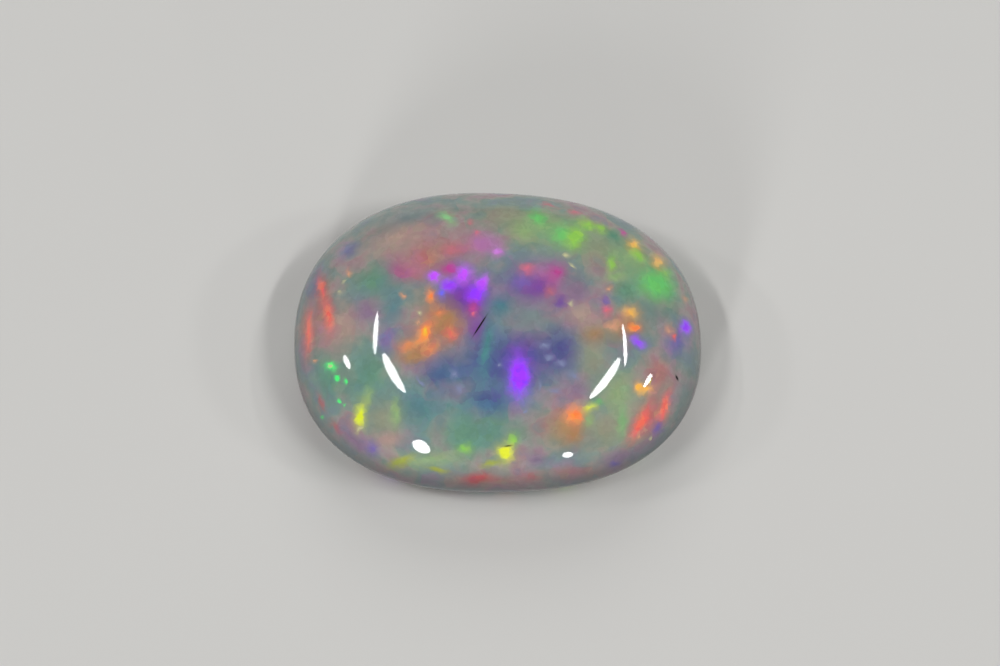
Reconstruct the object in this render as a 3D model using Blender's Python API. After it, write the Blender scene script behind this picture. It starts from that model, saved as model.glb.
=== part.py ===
"""A polished oval opal cabochon, lying on its flat base.

The stone is one piece. Its plan is a slightly square oval with the small lobes that hand cutting
leaves, and it is widest at the girdle. Above the girdle a domed crown closes over it. Below it the
flank curves in and under, until the flat base cuts it off with a small chamfered arris. The form is
drawn out of a sphere of even triangles, so it has no pole at the apex. The frame's origin is on the
base, under the middle of the stone, with +X along its length and +Z up.
"""

import math

import bmesh
import bpy
from mathutils import Vector

MM = 0.001

# Driving dimensions
LENGTH = 16.0 * MM
WIDTH = 12.3 * MM
HEIGHT = 5.2 * MM
GIRDLE_HEIGHT = 1.3 * MM

# Plan outline: 2 is an ellipse, and a higher number fills out its corners
SQUARENESS = 2.28
# Hand-cut lobes: how many times each goes round, and its share along the length and across it
HAND_CUT_LOBES = ((2, 0.025, -0.006), (3, 0.007, -0.003))

# Crown: how far its shoulders swell past an ellipse, and how far the apex leans from the middle
CROWN_FULLNESS = 0.03
CROWN_LEAN = Vector((0.10 * MM, 0.18 * MM, 0.0))

# Underside: how deep below the girdle it would reach if the base didn't cut it off
UNDERSIDE_DEPTH = 2.85 * MM
ARRIS_WIDTH = 0.10 * MM
ARRIS_HEIGHT = 0.10 * MM

# Mesh: how finely the sphere is divided, and how near the cut a point is drawn onto it
SPHERE_DIVISIONS = 5
DRAWN_TO_CUT = math.radians(1.3)
OUTLINE_SAMPLES = 720

BODY_COLOUR = (0.30, 0.33, 0.33, 1.0)
BODY_ROUGHNESS = 0.06
OPAL_IOR = 1.45
SHARP_ANGLE = math.radians(30)


def clear_scene():
    for thing in list(bpy.data.objects):
        bpy.data.objects.remove(thing, do_unlink=True)


def rough_outline(turn):
    """A point of the plan outline at this angle, before it is fitted to LENGTH and WIDTH."""
    along = abs(math.cos(turn) / (LENGTH / 2)) ** SQUARENESS
    across = abs(math.sin(turn) / (WIDTH / 2)) ** SQUARENESS
    reach = (along + across) ** (-1 / SQUARENESS)
    for lobes, even, odd in HAND_CUT_LOBES:
        reach *= 1 + even * math.cos(lobes * turn) + odd * math.sin(lobes * turn)
    return Vector((reach * math.cos(turn), reach * math.sin(turn), 0.0))


def outline_box():
    """The middle and the size of the plan outline before it is fitted."""
    samples = [rough_outline(math.tau * i / OUTLINE_SAMPLES) for i in range(OUTLINE_SAMPLES)]
    low = Vector((min(p.x for p in samples), min(p.y for p in samples), 0.0))
    high = Vector((max(p.x for p in samples), max(p.y for p in samples), 0.0))
    return (low + high) / 2, high - low


def girdle_point(turn, middle, size):
    """The girdle's point at this angle, with the girdle exactly LENGTH by WIDTH about the origin."""
    offset = rough_outline(turn) - middle
    return Vector((offset.x * LENGTH / size.x, offset.y * WIDTH / size.y, 0.0))


def profile(rise):
    """Height and share of the girdle's reach at this angle above the girdle, or below it if negative."""
    if rise < 0:
        return GIRDLE_HEIGHT + UNDERSIDE_DEPTH * math.sin(rise), math.cos(rise)
    height = GIRDLE_HEIGHT + (HEIGHT - GIRDLE_HEIGHT) * math.sin(rise)
    return height, math.cos(rise) * (1 + CROWN_FULLNESS * math.sin(2 * rise) ** 2)


def on_stone(direction, middle, size):
    """Where a point of the unit sphere goes on the stone."""
    rise = math.asin(max(-1.0, min(1.0, direction.z)))
    cut_rise = math.asin((ARRIS_HEIGHT - GIRDLE_HEIGHT) / UNDERSIDE_DEPTH)
    if abs(rise - cut_rise) < DRAWN_TO_CUT:
        rise = cut_rise
    height, share = profile(rise)
    crown_share = max(0.0, height - GIRDLE_HEIGHT) / (HEIGHT - GIRDLE_HEIGHT)
    turn = math.atan2(direction.y, direction.x)
    point = girdle_point(turn, middle, size) * share + CROWN_LEAN * crown_share**2
    point.z = height
    return point


def cut_base(bm):
    """Cuts the underside off flat, and steps the base face down and in for the arris."""
    everything = bm.verts[:] + bm.edges[:] + bm.faces[:]
    cut = bmesh.ops.bisect_plane(
        bm, geom=everything, dist=MM / 1000,
        plane_co=(0.0, 0.0, ARRIS_HEIGHT), plane_no=(0.0, 0.0, -1.0), clear_outer=True,
    )
    rim = [piece for piece in cut["geom_cut"] if isinstance(piece, bmesh.types.BMEdge)]
    base = bmesh.ops.edgeloop_fill(bm, edges=rim)["faces"]
    bmesh.ops.recalc_face_normals(bm, faces=bm.faces)
    bmesh.ops.inset_region(bm, faces=base, thickness=ARRIS_WIDTH, depth=ARRIS_HEIGHT, use_even_offset=True)


def build_stone():
    bm = bmesh.new()
    bmesh.ops.create_icosphere(bm, subdivisions=SPHERE_DIVISIONS, radius=1.0)
    middle, size = outline_box()
    for vert in bm.verts:
        vert.co = on_stone(vert.co, middle, size)
    cut_base(bm)
    mesh = bpy.data.meshes.new("opal")
    bm.to_mesh(mesh)
    bm.free()
    mesh.shade_smooth()
    mesh.set_sharp_from_angle(angle=SHARP_ANGLE)
    return mesh


def opal_material():
    material = bpy.data.materials.new("opal")
    material.use_nodes = True
    shader = material.node_tree.nodes["Principled BSDF"]
    shader.inputs["Base Color"].default_value = BODY_COLOUR
    shader.inputs["Roughness"].default_value = BODY_ROUGHNESS
    shader.inputs["Metallic"].default_value = 0.0
    shader.inputs["IOR"].default_value = OPAL_IOR
    return material


def main():
    clear_scene()
    stone = bpy.data.objects.new("opal", build_stone())
    stone.data.materials.append(opal_material())
    bpy.context.scene.collection.objects.link(stone)


if __name__ == "__main__":
    main()
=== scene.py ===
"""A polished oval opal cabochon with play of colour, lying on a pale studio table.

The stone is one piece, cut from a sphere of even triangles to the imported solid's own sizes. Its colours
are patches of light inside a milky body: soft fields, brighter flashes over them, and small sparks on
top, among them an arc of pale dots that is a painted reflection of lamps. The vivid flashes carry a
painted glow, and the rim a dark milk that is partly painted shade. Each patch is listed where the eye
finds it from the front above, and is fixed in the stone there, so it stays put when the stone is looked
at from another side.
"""

import math
from typing import NamedTuple

import bmesh
import bpy
from mathutils import Matrix, Vector
from mathutils.bvhtree import BVHTree


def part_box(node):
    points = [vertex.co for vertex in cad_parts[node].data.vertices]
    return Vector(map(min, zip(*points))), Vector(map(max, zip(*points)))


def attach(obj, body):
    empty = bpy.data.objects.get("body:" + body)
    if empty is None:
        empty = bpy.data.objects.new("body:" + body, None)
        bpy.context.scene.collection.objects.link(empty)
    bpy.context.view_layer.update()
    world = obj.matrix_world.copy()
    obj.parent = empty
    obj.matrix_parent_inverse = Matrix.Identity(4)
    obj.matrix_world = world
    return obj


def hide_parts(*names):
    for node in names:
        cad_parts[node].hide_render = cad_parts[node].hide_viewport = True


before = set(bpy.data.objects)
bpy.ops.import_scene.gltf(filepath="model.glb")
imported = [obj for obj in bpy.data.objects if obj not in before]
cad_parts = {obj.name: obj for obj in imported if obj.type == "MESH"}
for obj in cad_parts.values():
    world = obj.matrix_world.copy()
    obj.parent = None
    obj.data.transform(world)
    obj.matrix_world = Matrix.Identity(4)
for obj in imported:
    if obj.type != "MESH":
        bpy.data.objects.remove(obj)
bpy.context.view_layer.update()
LOWEST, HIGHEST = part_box("opal")

bl_info = {
    "name": "Opal cabochon",
    "version": (1, 0, 0),
    "blender": (4, 5, 0),
    "location": "3D View > Sidebar > Opal",
    "description": "Cuts a polished opal with play of colour and sets it on a studio table",
    "category": "Add Mesh",
}

MM = 0.001

# Plan outline: how many times each hand-cut lobe goes round, and its share along the length and across
HAND_CUT_LOBES = ((2, 0.025, -0.006), (3, 0.007, -0.003))
OUTLINE_SAMPLES = 720
# How near the cut of the base a point is drawn onto it, how near it counts as on it, how many steps
# round its edge over, and the narrow ring inside that edge, which keeps the base's shading flat
DRAWN_TO_CUT = math.radians(0.25)
ON_CUT = 0.001 * MM
ARRIS_STEPS = 5
BASE_RING = 0.03 * MM

# The lamps hang level above the stone. Each strip lamp is a long oval between two points, in metres right
# and back of the stone, and its width. They make the curved bright lines down both sides of the dome.
LAMP_HEIGHT = 0.40
STRIP_LAMPS = (
    ("left_rear_strip", (-0.302, 0.198), (-0.299, 0.048), 0.020),
    ("left_front_strip", (-0.264, 0.044), (-0.202, -0.136), 0.032),
    ("right_rear_strip", (0.312, 0.169), (0.321, -0.011), 0.019),
    ("right_front_strip", (0.290, 0.024), (0.199, -0.184), 0.036),
)
# The small lamps hang at one distance from the point of the stone that they aim at. Each is its bearing
# from straight back, its height above the table, its width and height as the stone sees it, and its
# lean, all in degrees. They make the small bright spots.
SPOT_DISTANCE = 0.5
STONE_HEART = Vector((0.0, 0.0, 2.0 * MM))
SPOT_LAMPS = (
    ("left_spot", -85.5, 36.8, 7.4, 3.4, 24.0),
    ("right_spot", 99.2, 34.0, 9.0, 3.4, -10.0),
    ("front_left_spot", -159.7, 17.9, 6.6, 18.0, 14.0),
    ("front_right_spot", 163.6, 4.8, 3.4, 9.5, 0.0),
)
# A wide, dim lamp behind the stone: its place, its width and its height. It lights the stone without
# showing in the polish.
REAR_LAMP = ("rear_lamp", (0.0, 0.55, 0.42), 0.6, 0.4)
# The width of the camera's sensor in millimetres, and how near it sees, in metres
SENSOR_WIDTH = 36.0
NEAR_CLIP = 0.01
# The table: grains to a metre, how bright its darker grains are, its roughness and its shine
TABLE_GRAINS = 60.0
TABLE_SHADE = 0.97
TABLE_ROUGHNESS = 0.75
TABLE_SHINE = 0.2


class Patch(NamedTuple):
    """A patch of colour in the stone, as seen from the front above."""

    colour: str  # the name of a colour in OpalColours
    right: float  # its middle, in millimetres right of the picture's middle
    up: float  # and above it
    half_width: float  # in millimetres
    half_height: float
    turn: float = 0.0  # degrees anticlockwise
    strength: float = 1.0  # more than 1 gives it a firmer edge


# Broad soft fields of colour, laid first
FIELDS = (
    # The grey-blue heart of the stone
    Patch("slate", -0.1, -1.2, 3.0, 1.7),
    Patch("dusk", 0.9, -0.9, 1.9, 1.3),
    Patch("dusk", 2.4, -0.6, 1.1, 1.2),
    Patch("grey_teal", 1.1, 0.7, 1.2, 0.8),
    Patch("slate", -2.3, -1.6, 1.1, 0.8),
    Patch("teal", -3.0, -2.9, 2.2, 1.0),
    Patch("slate", -0.4, -2.7, 1.3, 0.7),
    Patch("jade", -0.8, -3.8, 2.8, 0.9),
    Patch("mauve", 3.1, -2.1, 0.7, 0.6),
    Patch("olive", 3.7, -0.9, 0.8, 1.3),
    # Upper left
    Patch("tan", -4.0, 3.7, 2.2, 1.1, 20, 1.1),
    Patch("rose", -1.6, 3.3, 1.2, 0.6, 10),
    Patch("terracotta", -2.8, 2.9, 0.9, 0.8),
    Patch("rose", -3.4, 2.4, 0.8, 0.6),
    Patch("magenta", -4.0, 2.35, 0.6, 0.6),
    Patch("orchid", -0.6, 3.5, 0.9, 0.6),
    Patch("purple", -1.2, 1.4, 1.3, 1.3),
    Patch("purple", -0.9, 0.2, 0.7, 0.8),
    Patch("teal", 0.05, 1.1, 0.6, 0.62, -25, 1.2),
    Patch("teal", -0.5, -0.6, 0.34, 1.4, -7, 1.3),
    Patch("jade", -4.9, 2.05, 1.1, 0.8),
    Patch("lavender", -6.0, 3.2, 0.6, 0.4, 40, 0.6),
    Patch("mauve", -5.1, 0.9, 0.8, 0.7),
    Patch("teal", -4.2, 1.0, 0.5, 0.9),
    Patch("lavender", -4.45, -0.3, 0.4, 0.8),
    Patch("grey_teal", -3.5, 4.6, 1.6, 0.5, 20),
    Patch("amber", -2.4, 0.5, 1.2, 1.3),
    Patch("amber", -3.3, -0.6, 1.2, 0.7, 15),
    Patch("slate", -7.3, 1.8, 0.35, 0.8, -20, 0.7),
    Patch("terracotta", -6.9, 0.9, 0.6, 1.6, 8, 0.8),
    Patch("terracotta", -7.5, 0.0, 0.4, 1.3, 0, 0.8),
    # Upper right
    Patch("moss", 2.2, 3.9, 2.6, 1.1, -15),
    Patch("olive", 0.4, 4.5, 1.4, 0.6),
    Patch("olive", 3.8, 3.3, 1.0, 0.8),
    Patch("moss", 5.0, 3.0, 1.2, 1.0, -35),
    Patch("jade", 5.1, 1.7, 0.9, 0.7),
    Patch("green", 6.1, 1.9, 1.0, 0.9, -10, 0.8),
    Patch("grey_teal", 5.9, 0.8, 0.9, 0.7),
    Patch("lavender", 6.9, -0.4, 0.7, 0.8),
    Patch("purple", 1.2, 1.9, 1.5, 1.0),
    Patch("orchid", 1.6, 2.4, 1.0, 0.6, 0, 0.8),
    Patch("magenta", 2.0, 2.1, 0.7, 0.8, 0, 0.6),
    Patch("mauve", 3.0, 1.6, 0.9, 0.8),
    Patch("tan", 3.2, 0.7, 0.9, 0.8),
    Patch("amber", 4.9, 0.3, 0.9, 0.8),
    Patch("amber", 3.7, -0.1, 0.7, 0.5, 0, 0.6),
    # Lower left
    Patch("tan", -6.2, 0.2, 0.8, 1.2),
    Patch("jade", -5.2, -1.6, 1.4, 1.6),
    Patch("jade", -6.7, -1.8, 0.9, 1.0),
    Patch("olive", -4.5, -3.4, 1.2, 1.0),
    Patch("mauve", -5.6, -4.2, 1.0, 0.5, -40),
    Patch("tan", -4.3, -4.2, 0.8, 0.5),
    Patch("jade", -1.3, -4.4, 1.2, 0.6),
    Patch("moss", -2.8, -5.0, 1.6, 0.45, 5),
    Patch("terracotta", -0.6, -5.75, 1.8, 0.38, 0, 0.9),
    # Lower right
    Patch("moss", 4.7, -2.4, 0.9, 1.4),
    Patch("olive", 4.1, -3.9, 1.3, 0.9),
    Patch("terracotta", 6.2, -1.6, 0.7, 0.8, 0, 0.8),
    Patch("terracotta", 5.9, -3.3, 0.7, 1.2, -25),
    Patch("amber", 2.5, -3.6, 1.1, 1.0),
    Patch("mauve", 1.4, -5.0, 0.6, 0.5),
    Patch("terracotta", 2.9, -5.5, 1.4, 0.35, 5, 0.7),
    Patch("mauve", 4.6, -4.9, 0.9, 0.5, 25),
    Patch("grey_teal", 7.2, -2.4, 0.5, 1.0, -15),
)

# Brighter flashes, laid over the fields
FLASHES = (
    # Violet and magenta, above the middle
    Patch("purple", -1.35, 1.45, 1.05, 0.95, -20, 1.1),
    Patch("lilac", -0.12, 3.22, 0.38, 0.30),
    Patch("orchid", -0.7, 3.5, 0.5, 0.38, 0, 0.8),
    Patch("rose", -1.9, 3.3, 0.5, 0.35),
    Patch("magenta", -2.0, 2.5, 0.48, 0.34, 0, 1.1),
    Patch("mallow", -2.6, 2.22, 0.32, 0.28, 0, 1.4),
    Patch("mallow", -1.45, 2.3, 0.44, 0.52, 0, 1.2),
    Patch("violet", -2.0, 1.85, 0.50, 0.36),
    Patch("mallow", -0.68, 1.95, 0.32, 0.46, -15, 1.2),
    Patch("violet", -0.95, 1.5, 0.46, 0.46, 0, 1.3),
    Patch("magenta", -1.05, 0.95, 0.32, 0.38),
    Patch("pink", 1.05, 2.55, 0.42, 0.24, 0, 0.8),
    Patch("magenta", 2.25, 2.4, 0.42, 0.42),
    Patch("rose", 1.9, 1.65, 0.32, 0.26),
    Patch("lavender", 0.85, 2.0, 0.5, 0.4, 0, 0.8),
    Patch("purple", 1.5, 1.8, 0.5, 0.5, 0, 0.6),
    Patch("purple", 2.4, 1.2, 0.4, 0.35, 0, 0.7),
    # The violet oval below the middle
    Patch("violet", 0.73, -1.7, 0.56, 1.10, 0, 1.3),
    # Oranges left of the middle
    Patch("orange", -2.72, 1.45, 0.26, 0.42, 15),
    Patch("amber", -2.1, 0.45, 0.80, 0.90, 0, 1.1),
    Patch("orange", -2.4, 0.85, 0.35, 0.28, 0, 0.5),
    Patch("orange", -2.95, 0.0, 0.36, 0.62, -25, 1.1),
    Patch("salmon", -1.9, 0.0, 0.40, 0.34, 0, 0.7),
    Patch("orange", -3.6, -0.5, 0.55, 0.34, 20, 0.6),
    Patch("orange", -2.75, -0.65, 0.55, 0.32, 25, 0.6),
    Patch("amber", -3.4, -0.95, 0.70, 0.36, 15),
    # Red streaks down the left rim
    Patch("salmon", -7.0, 1.75, 0.26, 0.75, 12, 0.85),
    Patch("salmon", -6.72, 0.7, 0.28, 0.80, 5, 0.9),
    Patch("salmon", -7.52, 0.05, 0.24, 1.2, -2, 0.8),
    # Greens and limes, upper right
    Patch("moss", 0.9, 4.0, 0.65, 0.55, -25),
    Patch("green", 1.5, 4.5, 0.62, 0.45, -28),
    Patch("green", 2.45, 3.85, 0.58, 0.55, -30),
    Patch("lime", 2.95, 3.75, 0.46, 0.72, -15, 1.3),
    Patch("lime", 3.45, 4.25, 0.50, 0.26, -22),
    Patch("lime", 4.0, 4.1, 0.42, 0.28, -32),
    Patch("jade", 4.45, 3.8, 0.45, 0.28, -35),
    Patch("magenta", 4.8, 3.95, 0.24, 0.12, -40),
    Patch("gold", 5.25, 3.45, 0.42, 0.30, -40, 0.9),
    Patch("lime", 5.4, 3.05, 0.45, 0.30, -38),
    Patch("lime", 4.37, 2.7, 0.24, 0.5, -8),
    Patch("moss", 4.6, 2.2, 0.6, 0.24, 10),
    Patch("green", 6.15, 1.9, 0.95, 0.85, -15, 1.2),
    Patch("lime", 6.5, 2.35, 0.30, 0.25, 0, 0.8),
    Patch("gold", 6.2, 2.8, 0.40, 0.34, -45, 0.8),
    Patch("mint", -2.05, 4.5, 0.50, 0.28, -28),
    Patch("rose", 1.9, 5.0, 0.40, 0.12, -8),
    Patch("rose", 2.9, 4.75, 0.40, 0.12, -18),
    # Oranges and violets, right
    Patch("gold", 5.15, 0.8, 0.42, 0.34, 0, 0.9),
    Patch("orange", 5.3, 0.22, 0.34, 0.26),
    Patch("amber", 3.7, -0.05, 0.50, 0.36, 0, 0.6),
    Patch("peach", 4.4, 0.3, 0.45, 0.28, 0, 0.8),
    Patch("pink", 4.2, 0.92, 0.26, 0.26),
    Patch("lavender", 4.15, 1.3, 0.30, 0.25, 0, 0.8),
    Patch("violet", 7.28, 0.22, 0.34, 0.34, 0, 1.2),
    Patch("violet", 5.4, -0.35, 0.45, 0.26, -30, 0.9),
    Patch("peach", 6.65, 0.1, 0.28, 0.34, 0, 0.8),
    # Yellow and lime, along the front
    Patch("moss", -5.2, -2.5, 0.28, 0.5, -18),
    Patch("yellow", -5.48, -3.25, 0.28, 0.62, -8, 1.2),
    Patch("moss", -4.1, -3.1, 0.24, 0.75),
    Patch("citron", -3.9, -5.05, 0.80, 0.26, 26, 1.3),
    Patch("citron", -2.45, -5.35, 0.50, 0.15, -12, 1.2),
    Patch("lime", -1.38, -4.55, 0.38, 0.28),
    Patch("lime", 0.52, -4.2, 0.26, 0.36, -15),
    Patch("yellow", 0.22, -4.7, 0.40, 0.50, 0, 1.2),
    Patch("citron", -0.35, -5.15, 0.50, 0.14, 12),
    Patch("red", -0.88, -5.72, 0.65, 0.30, 18, 1.3),
    Patch("red", 1.2, -5.65, 0.50, 0.22, 0, 0.6),
    Patch("lavender", -5.0, -4.55, 0.36, 0.40),
    Patch("red", -7.0, -2.7, 0.16, 0.45, 20, 0.7),
    Patch("red", -6.45, -3.7, 0.20, 0.40, 35, 0.6),
    # Lower right
    Patch("amber", 2.9, -3.95, 0.50, 0.60),
    Patch("orange", 2.95, -3.20, 0.52, 0.50, 30, 1.1),
    Patch("moss", 3.5, -3.4, 0.26, 0.34),
    Patch("green", 3.85, -2.7, 0.30, 0.26, 0, 0.6),
    Patch("yellow", 3.55, -2.95, 0.34, 0.22, 12, 0.8),
    Patch("green", 4.8, -3.5, 0.30, 0.75, 0, 0.55),
    Patch("salmon", 5.5, -3.55, 0.30, 1.10, -25),
    Patch("salmon", 6.45, -2.95, 0.22, 0.95, -18),
    Patch("lavender", 6.2, -3.75, 0.26, 0.40, -30),
    Patch("gold", 5.72, -2.2, 0.40, 0.28),
    Patch("lavender", 4.5, -5.15, 0.30, 0.20),
)

# Small bright sparks and pale specks, laid last. Among them is an arc of pale blue-grey dots, a painted
# reflection of a ring of small lamps mirrored inside the stone.
SPARKS = (
    Patch("spark_green", -6.65, -1.30, 0.28, 0.24, 0, 1.3),
    Patch("pale", -6.68, -1.32, 0.10, 0.09),
    Patch("spark_green", -6.43, -1.76, 0.11, 0.20, 0, 1.3),
    Patch("spark_green", -6.06, -1.88, 0.10, 0.12),
    Patch("spark_green", -6.30, -2.67, 0.10, 0.10),
    Patch("spark_green", -6.12, -2.82, 0.08, 0.08),
    Patch("spark_green", -7.00, -3.33, 0.09, 0.11),
    Patch("peach", -7.25, -1.12, 0.14, 0.12),
    Patch("peach", -5.93, 2.35, 0.13, 0.17),
    Patch("pale", -6.10, 2.04, 0.08, 0.12, -30, 0.7),
    Patch("pale", -6.30, 1.60, 0.12, 0.12, 0, 0.7),
    Patch("yellow", -2.95, 0.05, 0.10, 0.20, -20, 0.6),
    Patch("peach", -3.25, 0.43, 0.10, 0.16),
    Patch("pale", -3.18, 0.82, 0.11, 0.11),
    Patch("peach", -3.82, 1.50, 0.16, 0.15),
    Patch("blue", -2.31, 1.53, 0.20, 0.24),
    Patch("pink", -1.00, 0.72, 0.12, 0.12),
    Patch("pink", -1.18, 4.30, 0.22, 0.22, 0, 0.6),
    Patch("pink", -0.94, 3.92, 0.18, 0.20, 0, 0.6),
    Patch("pale", 2.57, 3.06, 0.15, 0.10),
    Patch("pale", 2.82, 2.60, 0.20, 0.09, -45),
    Patch("pale", 2.77, 1.16, 0.13, 0.15, 0, 0.8),
    Patch("peach", 4.27, 1.70, 0.17, 0.14),
    Patch("peach", 7.25, 1.33, 0.15, 0.15, 0, 0.6),
    Patch("salmon", 6.82, -0.18, 0.10, 0.15),
    # Painted reflection: an arc of pale blue-grey dots where a ring of small lamps is mirrored inside the
    # stone
    Patch("painted_reflection", 1.76, -0.51, 0.22, 0.12),
    Patch("painted_reflection", 1.88, -0.90, 0.20, 0.17),
    Patch("painted_reflection", 2.39, -1.18, 0.25, 0.13),
    Patch("painted_reflection", 2.90, -1.65, 0.26, 0.20, 0, 0.8),
    Patch("painted_reflection", 2.16, -2.27, 0.26, 0.16, 0, 0.8),
    Patch("painted_reflection", 0.00, -1.25, 0.17, 0.10),
    Patch("painted_reflection", 1.02, -3.06, 0.10, 0.10),
    Patch("painted_reflection", -1.84, -1.60, 0.20, 0.22),
    Patch("painted_reflection", -1.61, -2.20, 0.20, 0.20, 0, 0.8),
    Patch("painted_reflection", 1.57, -2.10, 0.08, 0.25, 0, 0.8),
    Patch("painted_reflection", -3.14, -1.88, 0.20, 0.07, -40),
    Patch("gold", 5.45, -2.16, 0.17, 0.30, 0, 1.3),
    Patch("yellow", 5.84, -1.84, 0.10, 0.14, 0, 0.7),
    Patch("peach", 5.49, -4.12, 0.10, 0.10),
    Patch("pale", 5.88, -4.12, 0.08, 0.08),
    Patch("pale", -5.55, -3.78, 0.14, 0.10, 0, 0.8),
)

# A dark hair-like mark near the middle, and two short dark ones
MARKS = (
    Patch("soot", -0.78, 0.30, 0.034, 0.46, -33, 3.0),
    Patch("soot", 6.94, -1.76, 0.05, 0.14, 25, 1.5),
    Patch("soot", 0.31, -4.43, 0.20, 0.04, 8, 1.0),
)

# How strongly each layer of patches is laid over what is under it, and its half depth in millimetres
FIELD_LAYER = (0.85, 2.4)
FLASH_LAYER = (0.95, 1.3)
SPARK_LAYER = (0.95, 0.7)
MARK_LAYER = (1.0, 0.7)
# How much of a patch is left at its half size. Further out it goes on fading softly.
LEFT_AT_HALF_SIZE = 0.15

# How the patches are bent and broken up, the fields more broadly than the rest
BROAD_MOSAIC = {"Bend": 0.6, "Bends per mm": 0.7, "Cells per mm": 1.4, "Draw to cell": 0.15}
FINE_MOSAIC = {"Bend": 0.34, "Bends per mm": 2.2, "Cells per mm": 3.6, "Draw to cell": 0.22}
BENDING_DETAIL = 2.0
# How far small cells differ in shade and hue
BROAD_SHADES = {"Cells per mm": 1.8, "Shade": 0.10, "Hue": 0.04}
FINE_SHADES = {"Cells per mm": 5.0, "Shade": 0.09, "Hue": 0.015}
# Noise and chances lie round their middle, and a hue of a half leaves a colour as it is
MIDDLE_CHANCE = 0.5
HUE_UNCHANGED = 0.5

# The body's clouds, its own faint colours and where each stands along the clouds' noise, and the share
# of milk over them
BODY_CLOUDS = {"Scale": 0.55, "Detail": 3.0, "Roughness": 0.55}
BODY_STOPS = (
    (0.30, "mauve"), (0.38, "teal"), (0.45, "jade"), (0.50, "olive"), (0.55, "tan"), (0.60, "rose"),
    (0.66, "mauve"), (0.72, "grey_teal"),
)
BODY_MILK = 0.6
# Heights above the table, in millimetres, over which the rim's dark milk fades: away above the girdle, and
# to a smaller share below it. That milk is partly the stone's milky edge and partly painted shade that
# darkens the edge of the dome.
RIM_ABOVE = (1.2, 3.0)
RIM_BELOW = (0.3, 1.3)
RIM_LEFT_BELOW = 0.3
# Heights over which the ground base gives way to the polish, in millimetres
GROUND_UP_TO = (0.03, 0.12)

# The side flashes: their colours at even chances, how many to a millimetre, the chances between which
# they come in, how strong they get, and how far from its middle in cells each one fades
CHANCE_COLOURS = ("green", "orange", "violet", "lime", "teal", "magenta", "amber", "jade")
SIDE_FLASHES_PER_MM = 0.9
SIDE_FLASH_CHANCES = (0.3, 0.9)
SIDE_FLASH_SHARE = 0.85
SIDE_FLASH_EDGE = (0.15, 0.6)
# The heights over which they end, in millimetres, and how much higher that is a millimetre further back
SIDE_FLASHES_END = (0.9, 1.6)
SIDE_FLASHES_RISE = 0.14

# Painted glow: saturation times brightness from which colours give off light of their own, though the stone
# is no lamp, and at which they give it off fully
PAINTED_GLOW_RANGE = (0.12, 0.7)
# Smears in the polish, the part of their noise that counts, and their shares of the polish roughness
SMEARS = {"Scale": 1.3, "Detail": 4.0}
SMEAR_SPREAD = (0.3, 0.8)
SMEAR_SHARES = (0.8, 1.5)
# Faint waves left by polishing by hand
WAVES = {"Scale": 0.5, "Detail": 1.0}
WAVE_STRENGTH = 0.10
WAVE_DEPTH = 0.02 * MM


def linear(red, green, blue):
    """A screen colour from 0 to 255 as linear light."""
    shares = (value / 255 for value in (red, green, blue))
    return tuple(s / 12.92 if s <= 0.04045 else ((s + 0.055) / 1.055) ** 2.4 for s in shares)


def length_property(name, description, default):
    """A size that the sidebar shows in the scene's units of length."""
    return bpy.props.FloatProperty(
        name=name, description=description, default=default, min=0.0, precision=5,
        subtype="DISTANCE", unit="LENGTH",
    )


def share_property(name, description, default):
    return bpy.props.FloatProperty(
        name=name, description=description, default=default, min=0.0, max=1.0, subtype="FACTOR"
    )


def colour_property(name, description, red, green, blue):
    return bpy.props.FloatVectorProperty(
        name=name, description=description, default=linear(red, green, blue), min=0.0, max=1.0,
        subtype="COLOR",
    )


class OpalStone(bpy.types.PropertyGroup):
    """The stone's sizes. Length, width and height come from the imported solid."""

    length: length_property("Length", "Girdle from end to end", HIGHEST.x - LOWEST.x)
    width: length_property("Width", "Girdle from front to back", HIGHEST.y - LOWEST.y)
    height: length_property("Height", "From the base to the top of the dome", HIGHEST.z - LOWEST.z)
    girdle_height: length_property("Girdle height", "Where the stone is widest", 1.3 * MM)
    underside_depth: length_property("Underside depth", "Reach below the girdle without the base", 2.85 * MM)
    arris: length_property("Arris", "How far the edge of the base is rounded over", 0.10 * MM)
    lean_right: length_property("Lean right", "How far the top leans right of the middle", 0.10 * MM)
    lean_back: length_property("Lean back", "How far the top leans behind the middle", 0.18 * MM)
    squareness: bpy.props.FloatProperty(
        name="Squareness", description="2 is an ellipse, and more fills out the corners", default=2.28,
        min=1.5, max=4.0,
    )
    crown_fullness: bpy.props.FloatProperty(
        name="Crown fullness", description="How far the dome's shoulders swell", default=0.03,
        min=0.0, max=0.2,
    )
    divisions: bpy.props.IntProperty(
        name="Divisions", description="How finely the sphere is divided", default=7, min=3, max=7
    )


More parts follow.
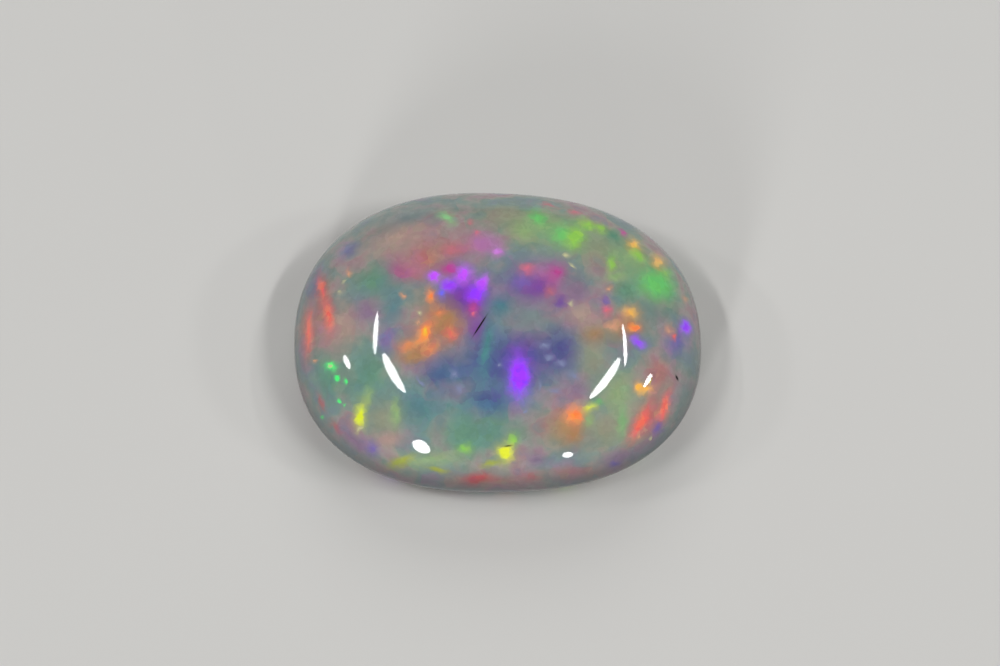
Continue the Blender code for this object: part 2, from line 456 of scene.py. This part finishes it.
class OpalColours(bpy.types.PropertyGroup):
    """The colours that play in the stone, and those of its body."""

    violet: colour_property("Violet", "The strongest flashes", 155, 60, 255)
    lilac: colour_property("Lilac", "Pale violet flashes", 212, 130, 225)
    lavender: colour_property("Lavender", "Soft violet", 125, 105, 185)
    magenta: colour_property("Magenta", "Pink-violet flashes", 190, 75, 150)
    mallow: colour_property("Mallow", "Pink-violet flashes, brighter and bluer", 192, 85, 248)
    pink: colour_property("Pink", "Bright pink flashes", 225, 108, 130)
    red: colour_property("Red", "Red along the rim", 200, 88, 92)
    rose: colour_property("Rose", "Soft red", 198, 118, 132)
    salmon: colour_property("Salmon", "Red streaks near the rim", 238, 106, 88)
    orange: colour_property("Orange", "Bright orange flashes", 248, 138, 68)
    gold: colour_property("Gold", "Yellow-orange flashes", 246, 182, 82)
    amber: colour_property("Amber", "Soft orange", 178, 134, 94)
    peach: colour_property("Peach", "Pale orange", 224, 165, 128)
    yellow: colour_property("Yellow", "Bright yellow flashes", 222, 230, 58)
    citron: colour_property("Citron", "Duller yellow flashes", 172, 180, 78)
    lime: colour_property("Lime", "Yellow-green flashes", 150, 205, 90)
    green: colour_property("Green", "Bright green flashes", 112, 204, 114)
    mint: colour_property("Mint", "Pale green flashes", 148, 212, 145)
    spark_green: colour_property("Spark green", "Small bright sparks", 80, 240, 122)
    jade: colour_property("Jade", "Soft green", 104, 156, 132)
    teal: colour_property("Teal", "Soft blue-green", 80, 140, 146)
    blue: colour_property("Blue", "Blue flashes", 110, 105, 240)
    grey_teal: colour_property("Grey teal", "Greyer blue-green", 124, 148, 146)
    slate: colour_property("Slate", "Grey-blue of the stone's heart", 62, 92, 152)
    dusk: colour_property("Dusk", "Violet-grey of the stone's heart", 90, 76, 150)
    purple: colour_property("Purple", "Deep soft violet", 122, 66, 168)
    orchid: colour_property("Orchid", "Soft pink", 188, 124, 180)
    mauve: colour_property("Mauve", "Grey-violet", 144, 114, 150)
    moss: colour_property("Moss", "Soft yellow-green", 154, 186, 130)
    olive: colour_property("Olive", "Grey-green", 158, 162, 134)
    tan: colour_property("Tan", "Grey-brown", 192, 158, 148)
    terracotta: colour_property("Terracotta", "Soft brown-red", 200, 118, 108)
    pale: colour_property("Pale", "Pale yellow specks", 215, 212, 165)
    # Painted reflection: the pale blue-grey dots of a ring of small lamps mirrored inside the stone
    painted_reflection: colour_property("Painted reflection", "Pale blue-grey specks", 140, 148, 185)
    soot: colour_property("Soot", "Dark marks", 38, 34, 36)
    milk: colour_property("Milk", "The milky body", 148, 152, 158)
    # Partly the stone's milky edge and partly painted shade: darker than the body, so the dome's edge reads
    # shaded
    rim_milk_and_shade: colour_property("Rim milk and shade", "The milky body at the rim", 64, 64, 70)


class OpalFinish(bpy.types.PropertyGroup):
    """How the stone is polished and how its light plays."""

    roughness: share_property("Polish roughness", "Of the polished dome", 0.035)
    ground_roughness: share_property("Base roughness", "Of the ground base", 0.42)
    refraction: bpy.props.FloatProperty(
        name="Refraction", description="Opal bends light by about 1.45", default=1.45, min=1.0, max=2.0
    )
    # Painted glow: light that the vivid flashes give off of themselves, though the stone is no lamp
    painted_glow: bpy.props.FloatProperty(
        name="Painted glow", description="Light that the strong flashes throw back", default=0.22, min=0.0, max=2.0
    )
    milkiness: share_property("Milkiness", "How much milk veils the soft colours", 0.06)
    # How much of the rim's dark milk, partly painted shade, is laid over the rim
    rim_share: share_property("Rim milk and shade", "How much milk veils the rim", 0.75)
    depth: share_property("Depth", "Share of the light that sinks in", 0.25)
    depth_reach: length_property("Depth reach", "How far light spreads inside the stone", 0.3 * MM)


class OpalStage(bpy.types.PropertyGroup):
    """The table, the light and the camera."""

    floor_size: length_property("Table size", "Side of the square table", 3.0)
    floor_colour: colour_property("Table colour", "A plain pale table", 216, 215, 212)
    lamp_radiance: bpy.props.FloatProperty(
        name="Strip brightness", description="Of the strip lamps", default=30.0, min=0.0
    )
    spot_radiance: bpy.props.FloatProperty(
        name="Spot brightness", description="Of the small lamps", default=34.0, min=0.0
    )
    rear_radiance: bpy.props.FloatProperty(
        name="Rear brightness", description="Of the wide lamp behind the stone", default=1.9, min=0.0
    )
    fill: bpy.props.FloatProperty(
        name="Fill", description="Even light from the room", default=0.11, min=0.0
    )
    camera_height: bpy.props.FloatProperty(
        name="Camera angle", description="Above the table", default=math.radians(68),
        subtype="ANGLE", unit="ROTATION",
    )
    camera_distance: length_property("Camera distance", "From the stone", 0.3)
    lens: bpy.props.FloatProperty(name="Lens", description="Focal length", default=275.4, unit="CAMERA")
    aim: bpy.props.FloatVectorProperty(
        name="Aim", description="The point at the picture's middle",
        default=(0.092 * MM, 0.1335 * MM, 2.085 * MM), precision=6, subtype="TRANSLATION", unit="LENGTH",
    )


def rough_outline(stone, turn):
    """A point of the plan outline at this angle, before it is fitted to the stone's length and width."""
    along = abs(math.cos(turn) / (stone.length / 2)) ** stone.squareness
    across = abs(math.sin(turn) / (stone.width / 2)) ** stone.squareness
    reach = (along + across) ** (-1 / stone.squareness)
    for lobes, even, odd in HAND_CUT_LOBES:
        reach *= 1 + even * math.cos(lobes * turn) + odd * math.sin(lobes * turn)
    return Vector((reach * math.cos(turn), reach * math.sin(turn), 0.0))


def outline_box(stone):
    """The middle and the size of the plan outline before it is fitted."""
    samples = [rough_outline(stone, math.tau * i / OUTLINE_SAMPLES) for i in range(OUTLINE_SAMPLES)]
    low = Vector((min(p.x for p in samples), min(p.y for p in samples), 0.0))
    high = Vector((max(p.x for p in samples), max(p.y for p in samples), 0.0))
    return (low + high) / 2, high - low


def profile(stone, rise):
    """Height and share of the girdle's reach at this angle above the girdle, or below it if negative."""
    if rise < 0:
        return stone.girdle_height + stone.underside_depth * math.sin(rise), math.cos(rise)
    height = stone.girdle_height + (stone.height - stone.girdle_height) * math.sin(rise)
    return height, math.cos(rise) * (1 + stone.crown_fullness * math.sin(2 * rise) ** 2)


def on_stone(stone, direction, middle, size):
    """Where a point of the unit sphere goes on the stone."""
    rise = math.asin(max(-1.0, min(1.0, direction.z)))
    cut_rise = math.asin((stone.arris - stone.girdle_height) / stone.underside_depth)
    if abs(rise - cut_rise) < DRAWN_TO_CUT:
        rise = cut_rise
    height, share = profile(stone, rise)
    turn = math.atan2(direction.y, direction.x)
    offset = rough_outline(stone, turn) - middle
    crown_share = max(0.0, height - stone.girdle_height) / (stone.height - stone.girdle_height)
    return Vector((
        offset.x * stone.length / size.x * share + stone.lean_right * crown_share**2,
        offset.y * stone.width / size.y * share + stone.lean_back * crown_share**2,
        height,
    ))


def cut_base(bm, stone):
    """Cuts the underside off flat, then rounds its edge over in small steps down to the base."""
    everything = bm.verts[:] + bm.edges[:] + bm.faces[:]
    cut = bmesh.ops.bisect_plane(
        bm, geom=everything, dist=ON_CUT,
        plane_co=(0.0, 0.0, stone.arris), plane_no=(0.0, 0.0, -1.0), clear_outer=True,
    )
    rim = [piece for piece in cut["geom_cut"] if isinstance(piece, bmesh.types.BMEdge)]
    base = bmesh.ops.edgeloop_fill(bm, edges=rim)["faces"]
    if not base:
        raise RuntimeError("the cut of the base isn't one closed line")
    bmesh.ops.recalc_face_normals(bm, faces=bm.faces)
    for step in range(ARRIS_STEPS):
        start = math.pi / 2 * step / ARRIS_STEPS
        end = math.pi / 2 * (step + 1) / ARRIS_STEPS
        inward = stone.arris * (math.cos(start) - math.cos(end))
        down = stone.arris * (math.sin(end) - math.sin(start))
        bmesh.ops.inset_region(bm, faces=base, thickness=inward, depth=down, use_even_offset=True)
    bmesh.ops.inset_region(bm, faces=base, thickness=BASE_RING, depth=0.0, use_even_offset=True)


def cut_stone(stone):
    """The stone's mesh, as a bmesh."""
    bm = bmesh.new()
    bmesh.ops.create_icosphere(bm, subdivisions=stone.divisions, radius=1.0)
    middle, size = outline_box(stone)
    for vert in bm.verts:
        vert.co = on_stone(stone, vert.co, middle, size)
    cut_base(bm, stone)
    return bm


def picture_tilt(stage):
    """Turns the picture's right, up and towards the eye into the table's right, back and up."""
    return Matrix.Rotation(math.pi / 2 - stage.camera_height, 3, "X")


def eye_place(stage):
    return Vector(stage.aim) + picture_tilt(stage) @ Vector((0.0, 0.0, stage.camera_distance))


def find_in_stone(surface, stage, patch):
    """The point of the stone's surface that is seen at the patch's middle, in millimetres."""
    tilt = picture_tilt(stage)
    eye = eye_place(stage)
    seen = Vector(stage.aim) + tilt @ Vector((patch.right * MM, patch.up * MM, 0.0))
    point = surface.ray_cast(eye, (seen - eye).normalized())[0]
    if point is None:
        raise RuntimeError(f"the {patch.colour} patch at {patch.right}, {patch.up} misses the stone")
    return point / MM


def add_node(tree, kind, label, inputs=None, **settings):
    """A labelled node with its settings, and with its inputs linked or filled in."""
    node = tree.nodes.new(kind)
    node.label = label
    for name, value in settings.items():
        setattr(node, name, value)
    for socket, value in (inputs or {}).items():
        if isinstance(value, bpy.types.NodeSocket):
            tree.links.new(value, node.inputs[socket])
        else:
            node.inputs[socket].default_value = value
    return node


# A Mix node's sockets for colours, which share their names with its other kinds
MIX_FACTOR, MIX_UNDER, MIX_OVER, MIX_RESULT = 0, 6, 7, 2


def mix_colours(tree, label, factor, under, over):
    inputs = {MIX_FACTOR: factor, MIX_UNDER: under, MIX_OVER: over}
    return add_node(tree, "ShaderNodeMix", label, inputs, data_type="RGBA").outputs[MIX_RESULT]


def math_node(tree, label, operation, *values):
    inputs = dict(enumerate(values))
    return add_node(tree, "ShaderNodeMath", label, inputs, operation=operation).outputs["Value"]


def vector_node(tree, label, operation, *values):
    inputs = dict(enumerate(values))
    return add_node(tree, "ShaderNodeVectorMath", label, inputs, operation=operation).outputs["Vector"]


def scale_node(tree, label, vector, scale):
    inputs = {0: vector, "Scale": scale}
    return add_node(tree, "ShaderNodeVectorMath", label, inputs, operation="SCALE").outputs["Vector"]


def dot_node(tree, label, vector, other):
    inputs = {0: vector, 1: other}
    return add_node(tree, "ShaderNodeVectorMath", label, inputs, operation="DOT_PRODUCT").outputs["Value"]


def spread_node(tree, label, value, low, high, to_low=0.0, to_high=1.0):
    """Maps low to high smoothly onto to_low to to_high, and holds the ends."""
    node = add_node(
        tree, "ShaderNodeMapRange", label,
        {"Value": value, "From Min": low, "From Max": high, "To Min": to_low, "To Max": to_high},
        interpolation_type="SMOOTHSTEP",
    )
    return node.outputs["Result"]


def noise_node(tree, label, place, settings):
    inputs = {"Vector": place, **settings}
    return add_node(tree, "ShaderNodeTexNoise", label, inputs).outputs["Fac"]


SOCKETS = {"colour": "NodeSocketColor", "place": "NodeSocketVector", "value": "NodeSocketFloat"}


def new_group(name, inputs, output):
    """An empty node group with these named inputs and one output, and its two end nodes."""
    group = bpy.data.node_groups.new(name, "ShaderNodeTree")
    for socket, kind in inputs:
        group.interface.new_socket(name=socket, in_out="INPUT", socket_type=SOCKETS[kind])
    group.interface.new_socket(name=output[0], in_out="OUTPUT", socket_type=SOCKETS[output[1]])
    return group, group.nodes.new("NodeGroupInput").outputs, group.nodes.new("NodeGroupOutput").inputs


def use_group(tree, group, label, inputs):
    return add_node(tree, "ShaderNodeGroup", label, inputs, node_tree=group).outputs[0]


def patch_group():
    """One oval patch of colour over what is under it. Each axis is a direction over the oval's half size."""
    group, given, out = new_group(
        "Opal patch",
        (("Under", "colour"), ("Place", "place"), ("Middle", "place"), ("Wide", "place"), ("Tall", "place"),
         ("Deep", "place"), ("Colour", "colour"), ("Strength", "value")),
        ("Colour", "colour"),
    )
    offset = vector_node(group, "From the middle", "SUBTRACT", given["Place"], given["Middle"])
    reach = 0.0
    for axis in ("Wide", "Tall", "Deep"):
        along = dot_node(group, f"{axis} share", offset, given[axis])
        reach = math_node(group, f"{axis} squared", "MULTIPLY_ADD", along, along, reach)
    share = math_node(group, "Fade out", "POWER", LEFT_AT_HALF_SIZE, reach)
    share = math_node(group, "Share", "MULTIPLY", share, given["Strength"])
    group.links.new(mix_colours(group, "Lay over", share, given["Under"], given["Colour"]), out["Colour"])
    return group


def mosaic_group():
    """Bends a place by noise, and draws it part of the way to the middle of its own cell."""
    group, given, out = new_group(
        "Opal mosaic",
        (("Place", "place"), ("Bend", "value"), ("Bends per mm", "value"), ("Cells per mm", "value"),
         ("Draw to cell", "value")),
        ("Place", "place"),
    )
    noise = add_node(
        group, "ShaderNodeTexNoise", "Bending",
        {"Vector": given["Place"], "Scale": given["Bends per mm"], "Detail": BENDING_DETAIL},
    ).outputs["Color"]
    centred = vector_node(group, "Centre", "SUBTRACT", noise, (MIDDLE_CHANCE, MIDDLE_CHANCE, MIDDLE_CHANCE))
    sized = scale_node(group, "Size", centred, given["Bend"])
    bent = vector_node(group, "Bent", "ADD", given["Place"], sized)
    cell = add_node(
        group, "ShaderNodeTexVoronoi", "Cells", {"Vector": bent, "Scale": given["Cells per mm"]},
    ).outputs["Position"]
    offset = vector_node(group, "To the cell's middle", "SUBTRACT", cell, bent)
    drawn = scale_node(group, "Part of the way", offset, given["Draw to cell"])
    group.links.new(vector_node(group, "Drawn", "ADD", bent, drawn), out["Place"])
    return group


def cells_group():
    """Gives each small cell its own slight shade and hue."""
    group, given, out = new_group(
        "Opal cells",
        (("Colour", "colour"), ("Place", "place"), ("Cells per mm", "value"), ("Shade", "value"),
         ("Hue", "value")),
        ("Colour", "colour"),
    )
    cell = add_node(
        group, "ShaderNodeTexVoronoi", "Cells", {"Vector": given["Place"], "Scale": given["Cells per mm"]},
    ).outputs["Color"]
    chance = add_node(group, "ShaderNodeSeparateColor", "Chances", {"Color": cell}).outputs
    shade = math_node(group, "Shade from the middle", "SUBTRACT", chance["Red"], MIDDLE_CHANCE)
    shade = math_node(group, "Shade", "MULTIPLY_ADD", shade, given["Shade"], 1.0)
    hue = math_node(group, "Hue from the middle", "SUBTRACT", chance["Green"], MIDDLE_CHANCE)
    hue = math_node(group, "Hue", "MULTIPLY_ADD", hue, given["Hue"], HUE_UNCHANGED)
    tinted = add_node(
        group, "ShaderNodeHueSaturation", "Tint", {"Hue": hue, "Value": shade, "Color": given["Colour"]},
    ).outputs["Color"]
    group.links.new(tinted, out["Colour"])
    return group


def lay_patches(tree, group, under, place, patches, surface, settings, strength, depth):
    """Lays a list of patches over one another and returns the last colour."""
    stage, colours = settings
    tilt = picture_tilt(stage)
    for patch in patches:
        turn = tilt @ Matrix.Rotation(math.radians(patch.turn), 3, "Z")
        under = use_group(tree, group, f"{patch.colour} {patch.right} {patch.up}", {
            "Under": under,
            "Place": place,
            "Middle": find_in_stone(surface, stage, patch),
            "Wide": turn.col[0] / patch.half_width,
            "Tall": turn.col[1] / patch.half_height,
            "Deep": turn.col[2] / depth,
            "Colour": (*getattr(colours, patch.colour), 1.0),
            "Strength": strength * patch.strength,
        })
    return under


def fill_ramp(ramp, stops, colours):
    """Sets a colour ramp to these places and colours."""
    while len(ramp.elements) < len(stops):
        ramp.elements.new(1.0)
    for element, (position, name) in zip(ramp.elements, stops):
        element.position = position
        element.color = (*getattr(colours, name), 1.0)


def body_colour(tree, place, colours):
    """The milky body's own colours, which show on every side."""
    noise = noise_node(tree, "Body clouds", place, BODY_CLOUDS)
    clouds = add_node(tree, "ShaderNodeValToRGB", "Body colours", {"Fac": noise})
    fill_ramp(clouds.color_ramp, BODY_STOPS, colours)
    return clouds.outputs["Color"]


def side_flashes(tree, place, axes, under, colours):
    """Soft flashes of chance colours low on the sides and up the back, which the photograph doesn't show."""
    cells = add_node(
        tree, "ShaderNodeTexVoronoi", "Chance flashes", {"Vector": place, "Scale": SIDE_FLASHES_PER_MM}
    ).outputs
    chance = add_node(tree, "ShaderNodeSeparateColor", "Chances", {"Color": cells["Color"]}).outputs
    picked = add_node(tree, "ShaderNodeValToRGB", "Which flash", {"Fac": chance["Red"]})
    picked.color_ramp.interpolation = "CONSTANT"
    share = 1 / len(CHANCE_COLOURS)
    fill_ramp(picked.color_ramp, [(i * share, name) for i, name in enumerate(CHANCE_COLOURS)], colours)
    strength = spread_node(tree, "Few flash", chance["Green"], *SIDE_FLASH_CHANCES, 0.0, SIDE_FLASH_SHARE)
    soft = spread_node(tree, "Soft edges", cells["Distance"], *SIDE_FLASH_EDGE, 1.0, 0.0)
    height = math_node(tree, "Higher at the back", "MULTIPLY_ADD", axes["Y"], -SIDE_FLASHES_RISE, axes["Z"])
    low = spread_node(tree, "Only out of sight", height, *SIDE_FLASHES_END, 1.0, 0.0)
    strength = math_node(tree, "Soft flash", "MULTIPLY", strength, soft)
    strength = math_node(tree, "Soft flash out of sight", "MULTIPLY", strength, low)
    return mix_colours(tree, "Side flashes", strength, under, picked.outputs["Color"])


def opal_material(surface, stage, colours, finish):
    """The polished opal: its milky body, its layers of colour, the light that it throws back, and a painted
    glow that its vivid flashes give off.
    """
    material = bpy.data.materials.new("opal_polished")
    material.use_nodes = True
    tree = material.node_tree
    shader = tree.nodes["Principled BSDF"]
    patches, mosaic, cells = patch_group(), mosaic_group(), cells_group()

    metres = add_node(tree, "ShaderNodeTexCoord", "Place in metres").outputs["Object"]
    place = vector_node(tree, "Place in millimetres", "MULTIPLY", metres, (1 / MM, 1 / MM, 1 / MM))
    broad = use_group(tree, mosaic, "Broad mosaic", {"Place": place, **BROAD_MOSAIC})
    fine = use_group(tree, mosaic, "Fine mosaic", {"Place": place, **FINE_MOSAIC})

    axes = add_node(tree, "ShaderNodeSeparateXYZ", "Axes", {"Vector": place}).outputs
    height = axes["Z"]
    milk, rim_milk_and_shade = (*colours.milk, 1.0), (*colours.rim_milk_and_shade, 1.0)
    colour = mix_colours(tree, "Milky body", BODY_MILK, body_colour(tree, broad, colours), milk)
    settings = (stage, colours)
    colour = lay_patches(tree, patches, colour, broad, FIELDS, surface, settings, *FIELD_LAYER)
    colour = use_group(tree, cells, "Broad shades", {"Colour": colour, "Place": fine, **BROAD_SHADES})
    colour = mix_colours(tree, "Milky veil", finish.milkiness, colour, milk)
    colour = lay_patches(tree, patches, colour, fine, FLASHES, surface, settings, *FLASH_LAYER)
    colour = use_group(tree, cells, "Fine shades", {"Colour": colour, "Place": fine, **FINE_SHADES})
    colour = lay_patches(tree, patches, colour, fine, SPARKS, surface, settings, *SPARK_LAYER)
    # The rim near the girdle is veiled with a dark milk: partly the stone's milky edge, partly painted shade
    # darkening the edge of the dome
    above = spread_node(tree, "Milk above the girdle", height, *RIM_ABOVE, finish.rim_share, 0.0)
    below = spread_node(tree, "Less milk below it", height, *RIM_BELOW, RIM_LEFT_BELOW, 1.0)
    rim = math_node(tree, "Milk near the girdle", "MULTIPLY", above, below)
    colour = mix_colours(tree, "Milky rim and shade", rim, colour, rim_milk_and_shade)
    colour = side_flashes(tree, fine, axes, colour, colours)
    colour = lay_patches(tree, patches, colour, place, MARKS, surface, settings, *MARK_LAYER)
    ground = spread_node(tree, "Ground base", height, *GROUND_UP_TO, 1.0, 0.0)

    # In this mode the outputs named green and blue are the saturation and the brightness
    parts = add_node(
        tree, "ShaderNodeSeparateColor", "Strength of colour", {"Color": colour}, mode="HSV"
    ).outputs
    vivid = math_node(tree, "Vivid and bright", "MULTIPLY", parts["Green"], parts["Blue"])
    vivid = spread_node(tree, "Only the vivid", vivid, *PAINTED_GLOW_RANGE)
    # Painted glow: the vivid flashes give off light of their own, though the stone is no lamp
    painted_glow = mix_colours(tree, "Painted glow", vivid, (0.0, 0.0, 0.0, 1.0), colour)
    smears = noise_node(tree, "Polish smears", place, SMEARS)
    least, most = (finish.roughness * share for share in SMEAR_SHARES)
    polish = spread_node(tree, "Polish", smears, *SMEAR_SPREAD, least, most)
    roughness = math_node(tree, "Ground is rough", "MULTIPLY", ground, finish.ground_roughness)
    roughness = math_node(tree, "Roughness", "ADD", polish, roughness)

    waves = noise_node(tree, "Hand polish waves", place, WAVES)
    bump = add_node(
        tree, "ShaderNodeBump", "Waves", {"Strength": WAVE_STRENGTH, "Distance": WAVE_DEPTH, "Height": waves},
    ).outputs["Normal"]

    tree.links.new(colour, shader.inputs["Base Color"])
    tree.links.new(roughness, shader.inputs["Roughness"])
    tree.links.new(painted_glow, shader.inputs["Emission Color"])
    tree.links.new(bump, shader.inputs["Normal"])
    shader.inputs["Emission Strength"].default_value = finish.painted_glow
    shader.inputs["Subsurface Weight"].default_value = finish.depth
    shader.inputs["Subsurface Radius"].default_value = (1.0, 1.0, 1.0)
    shader.inputs["Subsurface Scale"].default_value = finish.depth_reach
    shader.inputs["IOR"].default_value = finish.refraction
    shader.inputs["Metallic"].default_value = 0.0
    return material


def table_material(stage):
    material = bpy.data.materials.new("pale_table")
    material.use_nodes = True
    tree = material.node_tree
    shader = tree.nodes["Principled BSDF"]
    place = add_node(tree, "ShaderNodeTexCoord", "Place").outputs["Object"]
    grain = noise_node(tree, "Faint grain", place, {"Scale": TABLE_GRAINS})
    pale = (*stage.floor_colour, 1.0)
    shaded = tuple(value * TABLE_SHADE for value in stage.floor_colour)
    tree.links.new(mix_colours(tree, "Table", grain, pale, (*shaded, 1.0)), shader.inputs["Base Color"])
    shader.inputs["Roughness"].default_value = TABLE_ROUGHNESS
    shader.inputs["Specular IOR Level"].default_value = TABLE_SHINE
    return material


def add_lamp(name, place, width, height, radiance):
    """A flat oval lamp of this size and brightness, facing down. The camera doesn't see it."""
    light = bpy.data.lights.new(name, "AREA")
    light.shape = "ELLIPSE"
    light.size = width
    light.size_y = height
    area = math.pi / 4 * width * height
    light.energy = radiance * math.pi * area
    lamp = bpy.data.objects.new(name, light)
    lamp.location = place
    lamp.visible_camera = False
    bpy.context.scene.collection.objects.link(lamp)
    return lamp


def hang_strips(stage):
    for name, start, end, width in STRIP_LAMPS:
        start, end = Vector((*start, LAMP_HEIGHT)), Vector((*end, LAMP_HEIGHT))
        along = end - start
        lamp = add_lamp(name, (start + end) / 2, along.length, width, stage.lamp_radiance)
        lamp.rotation_euler = (0.0, 0.0, math.atan2(along.y, along.x))


def aim_at_stone(lamp, lean=0.0):
    """Turns a lamp to face the stone, then leans it by an angle round its own line of sight."""
    facing = (STONE_HEART - lamp.location).to_track_quat("-Z", "Y").to_matrix()
    lamp.rotation_euler = (facing @ Matrix.Rotation(lean, 3, "Z")).to_euler()


def hang_spots(stage):
    for name, bearing, lift, wide, tall, lean in SPOT_LAMPS:
        bearing, lift = math.radians(bearing), math.radians(lift)
        towards = Vector((
            math.sin(bearing) * math.cos(lift), math.cos(bearing) * math.cos(lift), math.sin(lift)
        ))
        width, height = (2 * SPOT_DISTANCE * math.tan(math.radians(angle) / 2) for angle in (wide, tall))
        lamp = add_lamp(name, STONE_HEART + towards * SPOT_DISTANCE, width, height, stage.spot_radiance)
        aim_at_stone(lamp, math.radians(lean))


def hang_rear_lamp(stage):
    name, place, width, height = REAR_LAMP
    rear = add_lamp(name, place, width, height, stage.rear_radiance)
    rear.visible_glossy = False
    aim_at_stone(rear)


def add_camera(stage):
    camera = bpy.data.objects.new("camera", bpy.data.cameras.new("camera"))
    camera.data.lens = stage.lens
    camera.data.sensor_width = SENSOR_WIDTH
    camera.data.clip_start = NEAR_CLIP
    camera.location = eye_place(stage)
    camera.rotation_euler = picture_tilt(stage).to_euler()
    bpy.context.scene.collection.objects.link(camera)
    bpy.context.scene.camera = camera


def add_floor(stage):
    bm = bmesh.new()
    bmesh.ops.create_grid(bm, x_segments=1, y_segments=1, size=stage.floor_size / 2)
    mesh = bpy.data.meshes.new("floor")
    bm.to_mesh(mesh)
    bm.free()
    floor = bpy.data.objects.new("floor", mesh)
    floor.data.materials.append(table_material(stage))
    bpy.context.scene.collection.objects.link(floor)
    return floor


def fill_room(stage):
    """Even, faint light from all round."""
    world = bpy.data.worlds.new("room")
    world.use_nodes = True
    background = world.node_tree.nodes["Background"]
    background.inputs["Color"].default_value = (1.0, 1.0, 1.0, 1.0)
    background.inputs["Strength"].default_value = stage.fill
    bpy.context.scene.world = world


class OPAL_OT_cut_stone(bpy.types.Operator):
    """Cut the opal, polish it and light its colours"""

    bl_idname = "opal.cut_stone"
    bl_label = "Cut the opal"

    def execute(self, context):
        scene = context.scene
        bm = cut_stone(scene.opal_stone)
        surface = BVHTree.FromBMesh(bm)
        mesh = bpy.data.meshes.new("opal_stone")
        bm.to_mesh(mesh)
        bm.free()
        mesh.shade_smooth()
        stone = bpy.data.objects.new("opal_stone", mesh)
        mesh.materials.append(opal_material(surface, scene.opal_stage, scene.opal_colours, scene.opal_finish))
        scene.collection.objects.link(stone)
        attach(stone, "root")
        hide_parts("opal")
        return {"FINISHED"}


class OPAL_OT_set_stage(bpy.types.Operator):
    """Lay the pale table, hang the lamps and set up the camera"""

    bl_idname = "opal.set_stage"
    bl_label = "Set the stage"

    def execute(self, context):
        stage = context.scene.opal_stage
        add_floor(stage)
        hang_strips(stage)
        hang_spots(stage)
        hang_rear_lamp(stage)
        fill_room(stage)
        add_camera(stage)
        context.scene.view_settings.view_transform = "Standard"
        return {"FINISHED"}


class OPAL_PT_sidebar(bpy.types.Panel):
    """Lists the opal's pieces, sizes and colours"""

    bl_idname = "OPAL_PT_sidebar"
    bl_label = "Opal"
    bl_space_type = "VIEW_3D"
    bl_region_type = "UI"
    bl_category = "Opal"

    def draw(self, context):
        groups = {
            "opal.cut_stone": ("opal_stone", "opal_colours", "opal_finish"),
            "opal.set_stage": ("opal_stage",),
        }
        for operator, names in groups.items():
            box = self.layout.box()
            box.operator(operator)
            for name in names:
                group = getattr(context.scene, name)
                for setting in group.__annotations__:
                    box.prop(group, setting)


CLASSES = (
    OpalStone, OpalColours, OpalFinish, OpalStage, OPAL_OT_cut_stone, OPAL_OT_set_stage, OPAL_PT_sidebar,
)
SCENE_GROUPS = {
    "opal_stone": OpalStone, "opal_colours": OpalColours, "opal_finish": OpalFinish, "opal_stage": OpalStage,
}


def register():
    for kind in CLASSES:
        bpy.utils.register_class(kind)
    for name, kind in SCENE_GROUPS.items():
        setattr(bpy.types.Scene, name, bpy.props.PointerProperty(type=kind))


def unregister():
    for name in SCENE_GROUPS:
        delattr(bpy.types.Scene, name)
    for kind in reversed(CLASSES):
        bpy.utils.unregister_class(kind)


def main():
    register()
    bpy.ops.opal.cut_stone()
    bpy.ops.opal.set_stage()
    bpy.context.view_layer.update()


if __name__ == "__main__":
    main()
